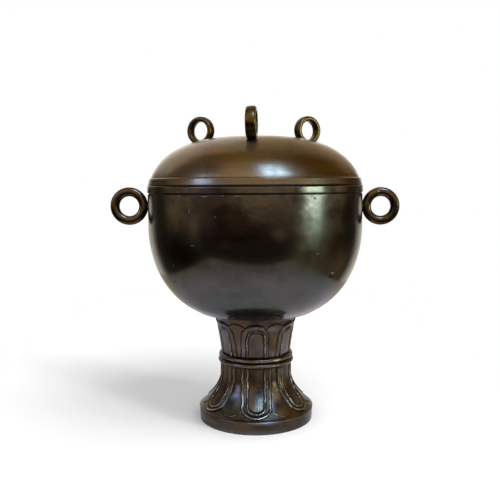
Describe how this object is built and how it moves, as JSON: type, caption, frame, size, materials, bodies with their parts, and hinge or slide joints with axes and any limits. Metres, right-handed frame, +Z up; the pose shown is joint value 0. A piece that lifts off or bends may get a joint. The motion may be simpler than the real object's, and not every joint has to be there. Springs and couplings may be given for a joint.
{
  "type": "lidded footed vessel",
  "caption": "Covered bronze dou: deep round bowl with side ring handles, domed lid with upright rings, on a waisted lotus-petal pedestal.",
  "frame": {"origin": "on the ground under the centre of the foot", "axes": "+Z is up; -Y is the front, where the single front lid ring stands; the two handles lie along X"},
  "size_m": [0.2468, 0.182, 0.2615],
  "materials": {
    "lid_bronze": "olive-brown patinated bronze, softly polished",
    "bowl_bronze": "very dark brown patinated bronze, softly polished",
    "pedestal_bronze": "dark patinated bronze with brassy worn ridges"
  },
  "bodies": {
    "root": {"lid": "lid_bronze", "bowl": "bowl_bronze", "pedestal": "pedestal_bronze"}
  },
  "joints": []
}
